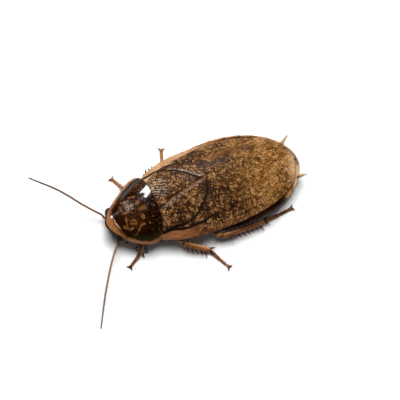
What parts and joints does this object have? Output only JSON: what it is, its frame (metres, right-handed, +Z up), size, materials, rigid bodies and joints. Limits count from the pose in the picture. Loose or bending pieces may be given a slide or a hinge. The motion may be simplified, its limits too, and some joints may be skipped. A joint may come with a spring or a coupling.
{
  "type": "speckled cockroach",
  "caption": "Life-size still model of an adult speckled cockroach, standing on its feet with wings folded over the back and feelers held forward.",
  "frame": {"origin": "on the floor, below the middle of the bounding box, feelers included", "axes": "+Y along the body towards the tail, so the head faces -Y, +X to the animal's left, +Z up from the floor"},
  "size_m": [0.0208, 0.0364, 0.0077],
  "materials": {
    "shield": "glossy horny shell, dark chocolate with pale tan margins",
    "wing": "satin leathery fore wing, olive brown speckled dark and pale",
    "abdomen": "satin dark brown segment plates with paler rims",
    "thorax": "soft amber-brown underside",
    "head": "smooth dark brown",
    "eye": "black, finely faceted, glossy",
    "limb": "amber brown with dark joints and spines",
    "feeler": "finely ringed brown, darker towards the tip",
    "cercus": "brown, finely ringed"
  },
  "bodies": {
    "root": {"pronotum": "shield", "tegmen_left": "wing", "tegmen_right": "wing", "neck": "thorax", "prothorax": "thorax", "mesothorax": "thorax", "metathorax": "thorax", "abdomen_segment_1": "abdomen", "abdomen_segment_2": "abdomen", "abdomen_segment_3": "abdomen", "abdomen_segment_4": "abdomen", "abdomen_segment_5": "abdomen", "abdomen_segment_6": "abdomen", "abdomen_segment_7": "abdomen", "supra_anal_plate": "abdomen", "cercus_left": "cercus", "cercus_right": "cercus", "head": "head", "labrum": "head", "eye_left": "eye", "eye_right": "eye", "antenna_base_left": "limb", "antenna_base_right": "limb", "antenna_left": "feeler", "antenna_right": "feeler", "maxillary_palp_left": "limb", "maxillary_palp_right": "limb", "labial_palp_left": "limb", "labial_palp_right": "limb", "coxa_left_front": "limb", "femur_left_front": "limb", "tibia_left_front": "limb", "tarsus_left_front": "limb", "coxa_right_front": "limb", "femur_right_front": "limb", "tibia_right_front": "limb", "tarsus_right_front": "limb", "coxa_left_middle": "limb", "femur_left_middle": "limb", "tibia_left_middle": "limb", "tarsus_left_middle": "limb", "coxa_right_middle": "limb", "femur_right_middle": "limb", "tibia_right_middle": "limb", "tarsus_right_middle": "limb", "coxa_left_hind": "limb", "femur_left_hind": "limb", "tibia_left_hind": "limb", "tarsus_left_hind": "limb", "coxa_right_hind": "limb", "femur_right_hind": "limb", "tibia_right_hind": "limb", "tarsus_right_hind": "limb"}
  },
  "joints": []
}
